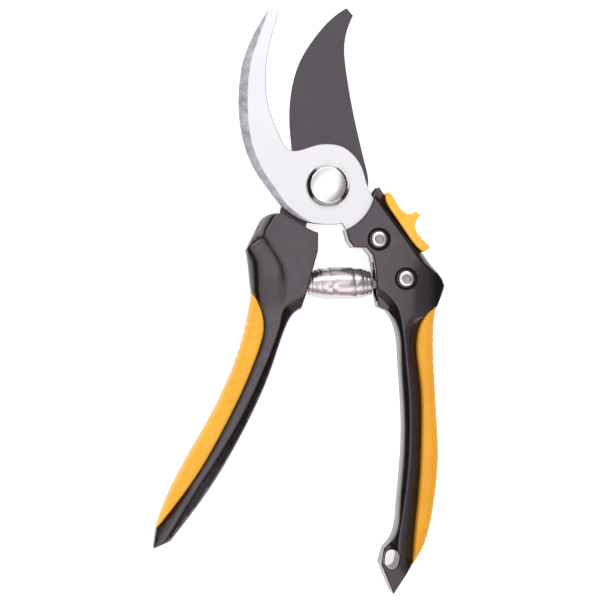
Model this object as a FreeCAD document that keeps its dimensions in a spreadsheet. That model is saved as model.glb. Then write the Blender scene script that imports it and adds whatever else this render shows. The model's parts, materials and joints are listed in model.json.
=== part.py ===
import FreeCAD, Part
import math
import os

import Sketcher
from FreeCAD import Placement, Rotation, Vector

# Bypass pruner, lying on its back. Millimetres. The origin is on the pivot's axis, on the surface that it
# rests on: +Z up through the bolt head, +Y towards the jaws, +X towards the handle with the thumb lock.

SIZES = {
    # layers, from the table up
    "handle_z": 0.4,
    "handle_thick": 15.2,
    "grip_thick": 16.6,
    "blade_z": 5.5,
    "blade_thick": 3.0,
    "blade_slot_z": 5.4,
    "blade_slot_thick": 3.2,
    "hook_z": 8.56,
    "hook_thick": 4.0,
    "hook_slot_z": 8.46,
    "hook_slot_thick": 4.2,
    # pivot
    "bolt_rad": 4.0,
    "bolt_hole_rad": 4.05,
    "bushing_rad": 5.0,
    "head_rad": 7.85,
    "head_flat_rad": 6.4,
    "head_z": 12.6,
    "head_thick": 2.6,
    "nut_flats": 13.0,
    "nut_thick": 3.6,
    "washer_rad": 7.6,
    "washer_thick": 0.8,
    "disc_rad": 6.8,
    "disc_thick": 0.9,
    # handle screws, their nuts and counterbores
    "screw_rad": 1.6,
    "screw_hole_rad": 1.65,
    "screw_head_rad": 2.8,
    "screw_head_thick": 1.9,
    "counterbore_rad": 3.95,
    "counterbore_deep": 1.4,
    "screw_nut_rad": 2.75,
    "screw_nut_thick": 2.4,
    "tang_pin_rad": 2.0,
    "tang_pin_long": 13.0,
    # spring and its seats
    "spring_rad": 6.05,
    "spring_strip": 8.6,
    "spring_gauge": 0.42,
    "spring_y": -35.5,
    "spring_z": 8.3,
    "seat_bore_rad": 5.2,
    "seat_deep": 6.5,
    "seat_rad": 5.1,
    "seat_thick": 1.0,
    "stud_rad": 1.8,
    "stud_long": 3.0,
    # thumb lock
    "lock_travel": 3.4,
    "lock_z": 1.6,
    "lock_thick": 14.0,
    "skirt_z": 14.5,
    "skirt_thick": 1.1,
    "catch_z": 5.6,
    "catch_thick": 2.8,
    "lock_screw_rad": 1.0,
    # lanyard slot
    "lanyard_wide": 5.0,
    "lanyard_long": 7.0,
}

PIVOT = (0.0, 0.0)
SCREWS = [(18.4, -19.5), (28.3, -33.8)]
TANG_PINS = [(-18.2, -20.0), (-19.6, -38.0)]
LANYARD = (23.3, -135.5)
LANYARD_TILT = 80.0
CLOSED_DEG = 27.0

# The lock slides along the right handle's outer edge. ALONG points the way it moves, towards the jaws, and
# AWAY points out of the edge. A place on the lock is (distance along, distance away) from the pivot's axis.
LOCK_DEG = 124.0
ALONG = Vector(math.cos(math.radians(LOCK_DEG)), math.sin(math.radians(LOCK_DEG)), 0)
AWAY = Vector(ALONG.y, -ALONG.x, 0)
EDGE_AWAY = 15.3
CATCH_AWAY = (12.8, 15.6)
CATCH_ALONG = (-30.0, -12.8)
NOTCH_GAP = 0.35

os.makedirs("parts", exist_ok=True)
doc = FreeCAD.newDocument("bypass_pruner")
sheet = doc.addObject("Spreadsheet::Sheet", "sheet")
for row, (alias, value) in enumerate(SIZES.items(), start=1):
    sheet.set(f"A{row}", alias)
    sheet.set(f"B{row}", str(value))
    sheet.setAlias(f"B{row}", alias)
doc.recompute()

NODES = []


def new_body(name):
    """A sub-part made of sketched features, named after its file."""
    body = doc.addObject("PartDesign::Body", name)
    body.Label = name
    NODES.append(body)
    return body


def new_sketch(body, name, z="0", role="XY_Plane", turn=None):
    """A sketch on one of the body's own planes, raised to the height that the expression z gives."""
    sketch = body.newObject("Sketcher::SketchObject", name)
    plane = next(f for f in body.Origin.OriginFeatures if f.Role == role)
    sketch.AttachmentSupport = [(plane, "")]
    sketch.MapMode = "FlatFace"
    if turn:
        sketch.AttachmentOffset = turn
    if z != "0":
        sketch.setExpression("AttachmentOffset.Base.z", z)
    return sketch


def add_outline(sketch, runs):
    """Joins runs of points, each starting where the last one ended. Two points make a line, more a curve."""
    for run in runs:
        points = [Vector(x, y, 0) for x, y in run]
        if len(points) == 2:
            sketch.addGeometry(Part.LineSegment(points[0], points[1]))
        else:
            curve = Part.BSplineCurve()
            curve.interpolate(points)
            sketch.addGeometry(curve)


def add_polygon(sketch, points):
    add_outline(sketch, [(a, b) for a, b in zip(points, points[1:] + points[:1])])


def add_circle(sketch, centre, alias):
    """A circle whose radius is bound to the sheet."""
    circle = Part.Circle(Vector(*centre, 0), Vector(0, 0, 1), SIZES[alias])
    number = sketch.addConstraint(Sketcher.Constraint("Radius", sketch.addGeometry(circle), SIZES[alias]))
    sketch.setExpression(f"Constraints[{number}]", f"sheet.{alias}")


def pad(body, sketch, thick):
    feature = body.newObject("PartDesign::Pad", sketch.Name + "_pad")
    feature.Profile = sketch
    feature.setExpression("Length", thick)
    sketch.Visibility = False
    doc.recompute()
    return feature


def pocket(body, sketch, deep, both_ways=False):
    """Cuts the sketch's shape upwards from it, or both ways, and checks that something was cut."""
    before = body.Shape.Volume
    feature = body.newObject("PartDesign::Pocket", sketch.Name + "_cut")
    feature.Profile = sketch
    feature.setExpression("Length", deep)
    if both_ways:
        feature.Midplane = True
    else:
        feature.Reversed = True
    sketch.Visibility = False
    doc.recompute()
    if not before - body.Shape.Volume > 0.01:
        raise RuntimeError(f"{feature.Name} cut nothing")
    return feature


def cylinder(name, radius, length, place):
    """A Part cylinder along +Z at place, its size bound to the sheet."""
    shape = doc.addObject("Part::Cylinder", name)
    shape.setExpression("Radius", radius)
    shape.setExpression("Height", length)
    shape.Placement = place
    return shape


def combine(kind, name, base, tool):
    """A Part boolean of two objects."""
    shape = doc.addObject(kind, name)
    shape.Base = base
    shape.Tool = tool
    return shape


def node(shape, name):
    shape.Label = name
    NODES.append(shape)
    return shape


def at(x, y, z):
    return Placement(Vector(x, y, z), Rotation())


def polar(radius, degrees):
    return (radius * math.cos(math.radians(degrees)), radius * math.sin(math.radians(degrees)))


def arc_run(radius, start, end, steps=8):
    """Points on a circle about the pivot, from one direction to another."""
    return [polar(radius, start + (end - start) * i / steps) for i in range(steps + 1)]


def lock_point(along, away):
    """A place beside the right handle's outer edge, in the row's own X and Y."""
    point = ALONG * along + AWAY * away
    return (point.x, point.y)


def make_hook():
    """The curved counter-blade, its pivot disc and the tang that the right handle's slot holds."""
    body = new_body("hook_jaw")
    sketch = new_sketch(body, "hook_outline", "sheet.hook_z")
    outer = [(-21.8, 63.0), (-26.1, 55.7), (-30.5, 44.9), (-32.2, 32.0), (-30.8, 16.8), (-26.7, 6.0),
             (-20.8, -2.6), (-15.1, -9.1), (-7.3, -13.4)]
    disc_bottom = [(-7.3, -13.4), (-2.6, -14.1), (5.3, -13.9)]
    tang_left = [(5.3, -13.9), (6.5, -16.0), (7.5, -20.0), (9.3, -22.5), (13.9, -22.7), (16.1, -25.4),
                 (16.5, -27.6), (21.5, -28.6), (25.0, -37.5), (29.0, -39.6), (33.0, -34.0)]
    tang_right = [(33.0, -34.0), (17.4, -6.2)]
    disc_right = [(17.4, -6.2), (16.4, -3.9), (14.9, -1.2), (13.9, 1.7), (12.6, 6.0), (9.8, 10.5),
                  (5.1, 14.0), (0.3, 14.9), (-3.9, 14.5), (-10.0, 12.6), (-12.2, 12.3)]
    inner = [(-12.2, 12.3), (-14.2, 12.9), (-16.9, 16.8), (-20.5, 25.5), (-22.3, 34.1), (-22.0, 44.9),
             (-20.2, 53.6), (-17.7, 61.4)]
    tip = [(-17.7, 61.4), (-18.3, 63.3), (-20.0, 63.7), (-21.8, 63.0)]
    tang_steps = [(a, b) for a, b in zip(tang_left, tang_left[1:])]
    add_outline(sketch, [outer, disc_bottom] + tang_steps + [tang_right, disc_right, inner, tip])
    pad(body, sketch, "sheet.hook_thick")
    holes = new_sketch(body, "hook_holes", "sheet.hook_z")
    add_circle(holes, PIVOT, "bolt_hole_rad")
    for centre in SCREWS:
        add_circle(holes, centre, "screw_hole_rad")
    pocket(body, holes, "sheet.hook_thick")


def make_blade():
    """The cutting blade, its round heel with two lobes and the lock's notch, and its tang."""
    body = new_body("cutting_blade")
    sketch = new_sketch(body, "blade_outline", "sheet.blade_z")
    neck, lobe, waist = 13.3, 16.9, 15.3
    edge = [(7.4, 64.7), (1.8, 60.7), (-4.2, 53.9), (-9.7, 45.0), (-12.4, 36.3), (-13.5, 25.8),
            (-12.9, 15.5), (-12.6, 6.0), (-15.4, -4.0), (-17.0, -10.4)]
    tang = [(-17.0, -10.4), (-20.4, -16.5), (-22.6, -24.0), (-22.3, -44.5), (-18.4, -45.5), (-15.6, -31.0),
            (-12.6, -23.0), (-7.7, -15.6)]
    throat = [(-7.7, -15.6), (-7.2, -13.9), polar(neck, -118)]
    back = [(waist, 0.0), (15.1, 4.0), (14.1, 8.2), (12.5, 14.7), (9.2, 29.8), (7.1, 42.8), (6.6, 51.4),
            (8.2, 58.4), (9.8, 62.0)]
    tang_steps = [(a, b) for a, b in zip(tang, tang[1:])]
    heel = [arc_run(neck, -118, -62), [polar(neck, -62), polar(lobe, -62)], arc_run(lobe, -62, -16),
            [polar(lobe, -16), polar(waist, -15)], arc_run(waist, -15, 0)]
    add_outline(sketch, [edge] + tang_steps + [throat] + heel + [back, [(9.8, 62.0), (7.4, 64.7)]])
    pad(body, sketch, "sheet.blade_thick")
    holes = new_sketch(body, "blade_holes", "sheet.blade_z")
    add_circle(holes, PIVOT, "bushing_rad")
    for centre in TANG_PINS:
        add_circle(holes, centre, "tang_pin_rad")
    pocket(body, holes, "sheet.blade_thick")
    # the notch is the catch's path with the jaws shut, turned back to the open jaws
    back_turn = Rotation(Vector(0, 0, 1), -CLOSED_DEG)
    end = CATCH_ALONG[1] + SIZES["lock_travel"] + NOTCH_GAP
    side = CATCH_AWAY[0] - NOTCH_GAP
    corners = [(end, side), (end, 20.0), (end - 12.0, 20.0), (end - 12.0, side)]
    turned = [back_turn.multVec(Vector(*lock_point(a, b), 0)) for a, b in corners]
    notch = new_sketch(body, "lock_notch", "sheet.blade_z")
    add_polygon(notch, [(p.x, p.y) for p in turned])
    pocket(body, notch, "sheet.blade_thick")


LEFT_BOUNDARY = [(-27.4, -39.2), (-24.3, -45.1), (-23.4, -52.3), (-25.2, -59.5), (-31.0, -73.9),
                 (-38.2, -88.3), (-46.5, -102.7), (-56.9, -117.1), (-61.9, -123.2)]
RIGHT_BOUNDARY = [(40.0, -44.0), (34.8, -48.2), (32.5, -55.0), (33.6, -70.3), (34.2, -88.3), (33.6, -105.6),
                  (31.8, -125.0), (30.9, -137.4)]


def make_left_handle():
    """The cast handle that grips the blade's tang, with the recess for the spring's seat."""
    body = new_body("left_handle")
    sketch = new_sketch(body, "left_outline", "sheet.handle_z")
    top = [(-3.7, -17.2), (-7.6, -15.6), (-11.7, -13.1), (-14.6, -11.5), (-17.5, -10.4), (-21.1, -10.6),
           (-24.4, -13.2)]
    shoulder = [(-24.4, -13.2), (-29.5, -23.5)]
    flank = [(-29.5, -23.5), (-28.5, -30.0), (-28.0, -35.0), (-27.4, -39.2)]
    lower_tip = [(-61.9, -123.2), (-63.0, -130.6)]
    sole = [(-63.0, -130.6), (-56.8, -128.1)]
    inner = [(-56.8, -128.1), (-53.6, -124.1), (-42.8, -109.8), (-34.1, -95.5), (-26.6, -81.0),
             (-20.5, -66.6), (-15.7, -52.3), (-12.4, -46.5), (-9.4, -44.5)]
    seat_wall = [(-9.4, -44.5), (-4.8, -27.4), (-3.8, -23.8)]
    add_outline(sketch, [top, shoulder, flank, LEFT_BOUNDARY, lower_tip, sole, inner, seat_wall,
                         [(-3.8, -23.8), (-3.7, -17.2)]])
    pad(body, sketch, "sheet.handle_thick")
    slot = new_sketch(body, "blade_tang_slot", "sheet.blade_slot_z")
    add_polygon(slot, [(-20.0, -6.0), (-21.4, -16.2), (-23.3, -24.0), (-22.9, -45.0), (-18.1, -46.0),
                       (-15.2, -31.0), (-12.2, -22.8), (-4.6, -11.7)])
    pocket(body, slot, "sheet.blade_slot_thick")
    pins = new_sketch(body, "tang_pin_holes", "sheet.handle_z")
    for centre in TANG_PINS:
        add_circle(pins, centre, "tang_pin_rad")
    pocket(body, pins, "sheet.tang_pin_long")
    seat_recess(body, "left_seat_recess", "-11 + 0.5 * sheet.seat_deep")


def seat_recess(body, name, middle_x):
    """A round recess for a spring seat, cut along X about the middle given."""
    recess = new_sketch(body, name, middle_x, role="YZ_Plane")
    add_circle(recess, (SIZES["spring_y"], SIZES["spring_z"]), "seat_bore_rad")
    pocket(body, recess, "sheet.seat_deep", both_ways=True)


def make_right_handle():
    """The slotted handle: bumper step, hook slot, catch slot, counterbores, lock edge and lanyard slot."""
    body = new_body("right_handle")
    sketch = new_sketch(body, "right_outline", "sheet.handle_z")
    tip = [(18.6, -0.3), (17.3, -1.8)]
    hollow = arc_run(17.3, -6, -67.5)
    bumper = [hollow[-1], (7.6, -19.9), (9.4, -22.4), (14.0, -22.6), (16.2, -25.3), (17.2, -30.7),
              (18.0, -41.5), (18.6, -44.0), (21.9, -45.4)]
    scoop = [(21.9, -45.4), (25.0, -50.5), (26.6, -63.1), (27.7, -81.1), (27.5, -99.1), (26.0, -117.1),
             (24.9, -125.5), (20.6, -131.6)]
    foot = [(20.6, -131.6), (19.4, -137.2), (23.8, -148.0), (30.9, -137.4)]
    heel = [(40.0, -44.0), (41.7, -40.0), (43.0, -36.4), (42.0, -33.9), (35.7, -25.6), (18.6, -0.3)]
    runs = [[tip[0], tip[1]], [tip[1], hollow[0]], hollow]
    for chain in (bumper, foot, heel):
        runs.extend([a, b] for a, b in zip(chain, chain[1:]))
    runs.insert(3 + len(bumper) - 1, scoop)
    runs.append(RIGHT_BOUNDARY)
    add_outline(sketch, runs)
    pad(body, sketch, "sheet.handle_thick")
    slot = new_sketch(body, "hook_tang_slot", "sheet.hook_slot_z")
    add_polygon(slot, [(19.0, 0.0), (17.6, -6.0), (33.3, -34.0), (29.1, -40.0), (23.7, -41.8), (12.0, -42.0),
                       (2.0, -24.0), (2.0, -12.0)])
    pocket(body, slot, "sheet.hook_slot_thick")
    make_lock_track(body)
    holes = new_sketch(body, "right_screw_holes", "sheet.handle_z")
    for centre in SCREWS:
        add_circle(holes, centre, "screw_hole_rad")
    pocket(body, holes, "sheet.handle_thick")
    front = new_sketch(body, "counterbores", "sheet.handle_z + sheet.handle_thick - sheet.counterbore_deep")
    back = new_sketch(body, "nut_recesses", "sheet.handle_z")
    for centre in SCREWS:
        add_circle(front, centre, "counterbore_rad")
        add_circle(back, centre, "screw_nut_rad")
    pocket(body, front, "sheet.counterbore_deep")
    pocket(body, back, "sheet.screw_nut_thick")
    seat_recess(body, "right_seat_recess", "21 - 0.5 * sheet.seat_deep")
    make_lanyard_slot(body)


def make_lock_track(body):
    """The chamfer that the lock's skirt runs over, and the slot that the catch slides in."""
    catch = new_sketch(body, "catch_slot", "sheet.blade_slot_z")
    floor, low = 11.8, CATCH_ALONG[0] - 8.0
    corners = [(0.0, floor), (0.0, 20.0), (low, 20.0), (low, floor)]
    add_polygon(catch, [lock_point(a, b) for a, b in corners])
    pocket(body, catch, "sheet.blade_slot_thick")
    # sketch X runs away from the edge, sketch Y up
    turn = Placement(Vector(0, 0, 0), Rotation(AWAY, Vector(0, 0, 1), AWAY.cross(Vector(0, 0, 1)), "ZXY"))
    chamfer = new_sketch(body, "edge_chamfer", turn=turn)
    top = SIZES["handle_z"] + SIZES["handle_thick"]
    wide = 3.6
    add_polygon(chamfer, [(EDGE_AWAY - wide, top), (EDGE_AWAY + wide, top), (EDGE_AWAY + wide, top - 2 * wide)])
    pocket(body, chamfer, "90", both_ways=True)


def make_lanyard_slot(body):
    """A round-ended slot through the lower end."""
    half = SIZES["lanyard_wide"] / 2
    reach = SIZES["lanyard_long"] / 2 - half
    along = Vector(math.cos(math.radians(LANYARD_TILT)), math.sin(math.radians(LANYARD_TILT)), 0)
    across = Vector(-along.y, along.x, 0)
    centre = Vector(*LANYARD, 0)
    high, low = centre + along * reach, centre - along * reach
    sketch = new_sketch(body, "lanyard_slot", "sheet.handle_z")
    sketch.addGeometry(Part.LineSegment(low - across * half, high - across * half))
    sketch.addGeometry(Part.Arc(high - across * half, high + along * half, high + across * half))
    sketch.addGeometry(Part.LineSegment(high + across * half, low + across * half))
    sketch.addGeometry(Part.Arc(low + across * half, low - along * half, low - across * half))
    pocket(body, sketch, "sheet.handle_thick")


def make_grips():
    """The two soft pads along the outer sides."""
    left = new_body("left_grip")
    sketch = new_sketch(left, "left_grip_outline")
    outer = [(-61.9, -123.2), (-58.4, -113.5), (-51.2, -99.1), (-42.9, -84.7), (-35.9, -70.3),
             (-30.8, -55.9), (-28.5, -46.0), (-27.4, -39.2)]
    add_outline(sketch, [LEFT_BOUNDARY, outer])
    pad(left, sketch, "sheet.grip_thick")
    right = new_body("right_grip")
    sketch = new_sketch(right, "right_grip_outline")
    outer = [(30.9, -137.4), (34.3, -132.3), (38.5, -117.1), (40.4, -97.3), (40.0, -86.5), (38.7, -62.0),
             (38.7, -52.3), (40.0, -44.0)]
    add_outline(sketch, [RIGHT_BOUNDARY, outer])
    pad(right, sketch, "sheet.grip_thick")


def make_pivot():
    """The bolt, the bushing in the blade, and the washers and nut below it."""
    bolt = new_body("pivot_bolt")
    sketch = new_sketch(bolt, "bolt_profile", role="XZ_Plane")
    shank, head, flat = SIZES["bolt_rad"], SIZES["head_rad"], SIZES["head_flat_rad"]
    under, top = SIZES["head_z"], SIZES["head_z"] + SIZES["head_thick"]
    add_polygon(sketch, [(0, 0), (shank, 0), (shank, under), (head, under), (head, top - 1.2), (flat, top),
                         (0, top)])
    turned = bolt.newObject("PartDesign::Revolution", "bolt_turned")
    turned.Profile = sketch
    turned.ReferenceAxis = (sketch, ["V_Axis"])
    turned.Angle = 360
    doc.recompute()

    ring("pivot_bushing", "sheet.bushing_rad", "sheet.bolt_rad + 0.05", "sheet.blade_thick", "blade_z")
    ring("thrust_washer", "sheet.washer_rad", "sheet.bolt_rad + 0.05", "sheet.washer_thick", "washer_z")
    ring("disc_spring", "sheet.disc_rad", "sheet.bolt_rad + 0.05", "sheet.disc_thick", "disc_z")

    nut = doc.addObject("Part::Prism", "nut_hexagon")
    nut.Polygon = 6
    nut.setExpression("Circumradius", "sheet.nut_flats / sqrt(3)")
    nut.setExpression("Height", "sheet.nut_thick")
    hole = cylinder("nut_hole", "sheet.bolt_rad", "sheet.nut_thick", at(0, 0, 0))
    node(combine("Part::Cut", "pivot_nut_cut", nut, hole), "pivot_nut")


def ring(name, outer, inner, thick, level):
    """A flat ring about the pivot's axis, on the layer named."""
    z = LEVELS[level]
    disc = cylinder(name + "_disc", outer, thick, at(0, 0, z))
    hole = cylinder(name + "_hole", inner, thick, at(0, 0, z))
    node(combine("Part::Cut", name + "_cut", disc, hole), name)


LEVELS = {
    "blade_z": SIZES["blade_z"],
    "washer_z": SIZES["blade_z"] - 0.05 - SIZES["washer_thick"],
    "disc_z": SIZES["blade_z"] - 0.07 - SIZES["washer_thick"] - SIZES["disc_thick"],
}


def several(name, shapes):
    """One node of separate solids."""
    group = doc.addObject("Part::Compound", name + "_set")
    group.Links = shapes
    return node(group, name)


def make_fasteners():
    """The two handle screws with their nuts, and the two pins through the blade's tang."""
    top = SIZES["handle_z"] + SIZES["handle_thick"]
    seat = top - SIZES["counterbore_deep"]
    nut_top = SIZES["handle_z"] + SIZES["screw_nut_thick"]
    screws, nuts, pins = [], [], []
    for number, (x, y) in enumerate(SCREWS):
        shank = cylinder(f"screw_shank_{number}", "sheet.screw_rad",
                         "sheet.handle_thick - sheet.counterbore_deep", at(x, y, SIZES["handle_z"]))
        head = cylinder(f"screw_head_{number}", "sheet.screw_head_rad", "sheet.screw_head_thick", at(x, y, seat))
        screws.append(combine("Part::Fuse", f"screw_{number}", head, shank))
        body = cylinder(f"screw_nut_body_{number}", "sheet.screw_nut_rad", "sheet.screw_nut_thick",
                        at(x, y, nut_top - SIZES["screw_nut_thick"]))
        hole = cylinder(f"screw_nut_hole_{number}", "sheet.screw_rad", "sheet.screw_nut_thick",
                        at(x, y, nut_top - SIZES["screw_nut_thick"]))
        nuts.append(combine("Part::Cut", f"screw_nut_{number}", body, hole))
    for number, (x, y) in enumerate(TANG_PINS):
        pins.append(cylinder(f"tang_pin_{number}", "sheet.tang_pin_rad", "sheet.tang_pin_long",
                             at(x, y, SIZES["handle_z"])))
    several("handle_screws", screws)
    several("handle_nuts", nuts)
    several("blade_tang_pins", pins)


def make_spring_seats():
    """A disc and a stud at the bottom of each recess."""
    for name, wall, way in (("left_spring_seat", -11.0, 1), ("right_spring_seat", 21.0, -1)):
        turn = Rotation(Vector(0, 0, 1), Vector(way, 0, 0))
        place = Placement(Vector(wall, SIZES["spring_y"], SIZES["spring_z"]), turn)
        disc = cylinder(name + "_disc", "sheet.seat_rad", "sheet.seat_thick", place)
        stud = cylinder(name + "_stud", "sheet.stud_rad", "sheet.seat_thick + sheet.stud_long", place)
        node(combine("Part::Fuse", name + "_fuse", disc, stud), name)


def spring_station(turn):
    """The strip's middle and radius at a count of turns from the spring's widest place."""
    middle_x, wide_pitch, end_pitch = 4.9, 3.7, 1.45
    size = abs(turn)
    reach = wide_pitch * min(size, 1.0) + end_pitch * max(size - 1.0, 0.0)
    radius = SIZES["spring_rad"] - SIZES["spring_gauge"] / 2 - 0.5 * size
    return middle_x + math.copysign(reach, turn), radius


def make_spring():
    """The double volute spring: a flat strip wound wide in the middle and narrow at both ends."""
    turns, steps = 7.6, 20
    count = int(turns * steps)
    half, gauge = SIZES["spring_strip"] / 2, SIZES["spring_gauge"] / 2
    rings = []
    for i in range(count + 1):
        turn = turns * (i / count - 0.5)
        x, radius = spring_station(turn)
        angle = 2 * math.pi * turn
        corners = []
        for side, layer in ((-half, -gauge), (half, -gauge), (half, gauge), (-half, gauge)):
            y = SIZES["spring_y"] + (radius + layer) * math.cos(angle)
            z = SIZES["spring_z"] + (radius + layer) * math.sin(angle)
            corners.append(Vector(x + side, y, z))
        rings.append(Part.makePolygon(corners + corners[:1]))
    solid = Part.makeLoft(rings, True, True)
    spring = doc.addObject("Part::Feature", "volute_strip")
    spring.Shape = solid
    spring.Placement = Placement()
    node(spring, "volute_spring")


def make_lock():
    """The thumb cap with its skirt, the catch below it, the screw that joins them and the detent leaf."""
    cap = new_body("thumb_lock")
    sketch = new_sketch(cap, "cap_outline", "sheet.lock_z")
    foot = EDGE_AWAY + 0.3
    crown = [lock_point(-14.3, foot), (22.2, -2.4)]
    upper = [(22.2, -2.4), (24.8, -6.2), (27.7, -9.7), (30.0, -10.3), (32.0, -9.4)]
    lower = [(33.6, -10.9), (32.2, -12.8), (31.6, -15.0), (32.7, -17.6), (37.3, -22.6)]
    add_outline(sketch, [crown, upper, [(32.0, -9.4), (33.6, -10.9)], lower,
                         [(37.3, -22.6), lock_point(-39.4, foot)],
                         [lock_point(-39.4, foot), lock_point(-14.3, foot)]])
    pad(cap, sketch, "sheet.lock_thick")
    skirt = new_sketch(cap, "skirt_outline", "sheet.skirt_z")
    bow = [lock_point(-39.4, 15.2), lock_point(-36.6, 14.3), lock_point(-32.0, 13.9), lock_point(-26.6, 13.9),
           lock_point(-20.5, 13.8), lock_point(-16.8, 14.1), lock_point(-14.3, 15.2)]
    add_outline(skirt, [bow, [lock_point(-14.3, 15.2), lock_point(-16.0, 17.0)],
                        [lock_point(-16.0, 17.0), lock_point(-37.0, 17.0)],
                        [lock_point(-37.0, 17.0), lock_point(-39.4, 15.2)]])
    pad(cap, skirt, "sheet.skirt_thick")

    catch = new_body("lock_catch")
    sketch = new_sketch(catch, "catch_outline", "sheet.catch_z")
    low, high = CATCH_ALONG
    near, far = CATCH_AWAY
    add_polygon(sketch, [lock_point(low, near), lock_point(high, near), lock_point(high, EDGE_AWAY - 0.3),
                         lock_point(-15.6, EDGE_AWAY - 0.3), lock_point(-16.0, far), lock_point(low, far)])
    pad(catch, sketch, "sheet.catch_thick")

    middle = Vector(*lock_point(-26.0, near + 0.4), SIZES["catch_z"] + SIZES["catch_thick"] / 2)
    place = Placement(middle, Rotation(Vector(0, 0, 1), AWAY))
    for body in (cap, catch):
        bore = body.newObject("PartDesign::SubtractiveCylinder", body.Name + "_bore")
        bore.setExpression("Radius", "sheet.lock_screw_rad")
        bore.Height = 4.2
        bore.Placement = place
        doc.recompute()
    node(cylinder("lock_screw_body", "sheet.lock_screw_rad", "4.2", place), "lock_screw")

    leaf = new_body("detent_leaf")
    sketch = new_sketch(leaf, "leaf_outline", "sheet.catch_z")
    add_polygon(sketch, [lock_point(a, b) for a, b in ((-30.0, 11.8), (-18.0, 11.8), (-18.0, 12.3),
                                                       (-30.0, 12.3))])
    pad(leaf, sketch, "sheet.catch_thick")


def export():
    """Refuses a failed or empty shape, then writes one file for each node."""
    doc.recompute()
    for thing in doc.Objects:
        if {"Invalid", "Error"} & set(thing.State):
            raise RuntimeError(f"{thing.Name} failed: {thing.State}")
    for thing in NODES:
        if thing.Shape.isNull() or not thing.Shape.isValid():
            raise RuntimeError(f"{thing.Label} has no valid shape")
        thing.Shape.exportStep(f"parts/{thing.Label}.step")
        box = thing.Shape.BoundBox
        print(f"{thing.Label:20s} {thing.Shape.Volume:10.1f} mm3  z {box.ZMin:.2f} to {box.ZMax:.2f}")


make_hook()
make_blade()
make_left_handle()
make_right_handle()
make_grips()
make_pivot()
make_fasteners()
make_spring_seats()
make_spring()
make_lock()
export()
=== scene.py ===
import json
import math

import bmesh
import bpy
import numpy as np
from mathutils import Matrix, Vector
from mathutils.geometry import delaunay_2d_cdt


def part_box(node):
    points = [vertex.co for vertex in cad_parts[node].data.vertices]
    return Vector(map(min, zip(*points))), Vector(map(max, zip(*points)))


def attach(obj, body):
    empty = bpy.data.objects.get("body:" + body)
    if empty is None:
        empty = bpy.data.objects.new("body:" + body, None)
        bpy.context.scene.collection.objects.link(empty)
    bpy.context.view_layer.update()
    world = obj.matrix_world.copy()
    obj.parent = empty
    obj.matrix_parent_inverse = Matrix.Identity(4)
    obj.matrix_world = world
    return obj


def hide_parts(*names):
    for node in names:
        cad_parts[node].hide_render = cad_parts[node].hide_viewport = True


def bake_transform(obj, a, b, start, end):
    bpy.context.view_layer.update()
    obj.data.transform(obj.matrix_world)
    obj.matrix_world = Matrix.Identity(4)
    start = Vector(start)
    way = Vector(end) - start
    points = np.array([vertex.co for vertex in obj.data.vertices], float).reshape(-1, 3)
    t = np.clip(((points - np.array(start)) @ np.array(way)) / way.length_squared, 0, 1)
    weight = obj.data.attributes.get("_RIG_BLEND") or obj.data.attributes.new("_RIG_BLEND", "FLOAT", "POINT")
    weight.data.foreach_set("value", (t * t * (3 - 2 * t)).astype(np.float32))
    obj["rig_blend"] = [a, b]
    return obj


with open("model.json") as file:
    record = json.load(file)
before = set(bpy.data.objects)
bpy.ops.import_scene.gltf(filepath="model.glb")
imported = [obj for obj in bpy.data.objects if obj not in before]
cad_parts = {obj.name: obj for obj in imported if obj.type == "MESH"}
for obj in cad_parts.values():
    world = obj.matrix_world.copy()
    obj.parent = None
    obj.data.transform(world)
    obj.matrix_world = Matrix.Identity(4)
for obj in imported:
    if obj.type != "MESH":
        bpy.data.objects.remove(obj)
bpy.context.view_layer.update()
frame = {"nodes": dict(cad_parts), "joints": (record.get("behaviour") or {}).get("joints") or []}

# Shapes are worked out in millimetres in the part's own frame and turned into metres as each mesh is made.
MM = 0.001


def low(node):
    """A CAD node's lowest corner, mm."""
    return np.array(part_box(node)[0]) / MM


def high(node):
    """A CAD node's highest corner, mm."""
    return np.array(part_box(node)[1]) / MM


# ---------------------------------------------------------------- outlines

def level_loops(name, z):
    """The closed outlines of a CAD node's flat faces at a height, longest first."""
    bm = bmesh.new()
    bm.from_mesh(frame["nodes"][name].data)
    bmesh.ops.remove_doubles(bm, verts=bm.verts, dist=1e-6)
    flat = {f for f in bm.faces if all(abs(v.co.z / MM - z) < 0.01 for v in f.verts)}
    following = {}
    for face in flat:
        for loop in face.loops:
            if not any(g in flat and g is not face for g in loop.edge.link_faces):
                following[loop.vert] = loop.link_loop_next.vert
    loops = []
    while following:
        start, here = following.popitem()
        chain = [start]
        while here is not start:
            chain.append(here)
            here = following.pop(here)
        points = np.array([v.co[:2] for v in chain]) / MM
        loops.append(points if area(points) > 0 else points[::-1])
    bm.free()
    return sorted(loops, key=length, reverse=True)


def area(loop):
    """The signed area of a closed outline, positive when it runs anticlockwise."""
    after = np.roll(loop, -1, 0)
    return 0.5 * (loop[:, 0] * after[:, 1] - after[:, 0] * loop[:, 1]).sum()


def length(loop):
    """The length round a closed outline."""
    return np.hypot(*(np.roll(loop, -1, 0) - loop).T).sum()


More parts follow.
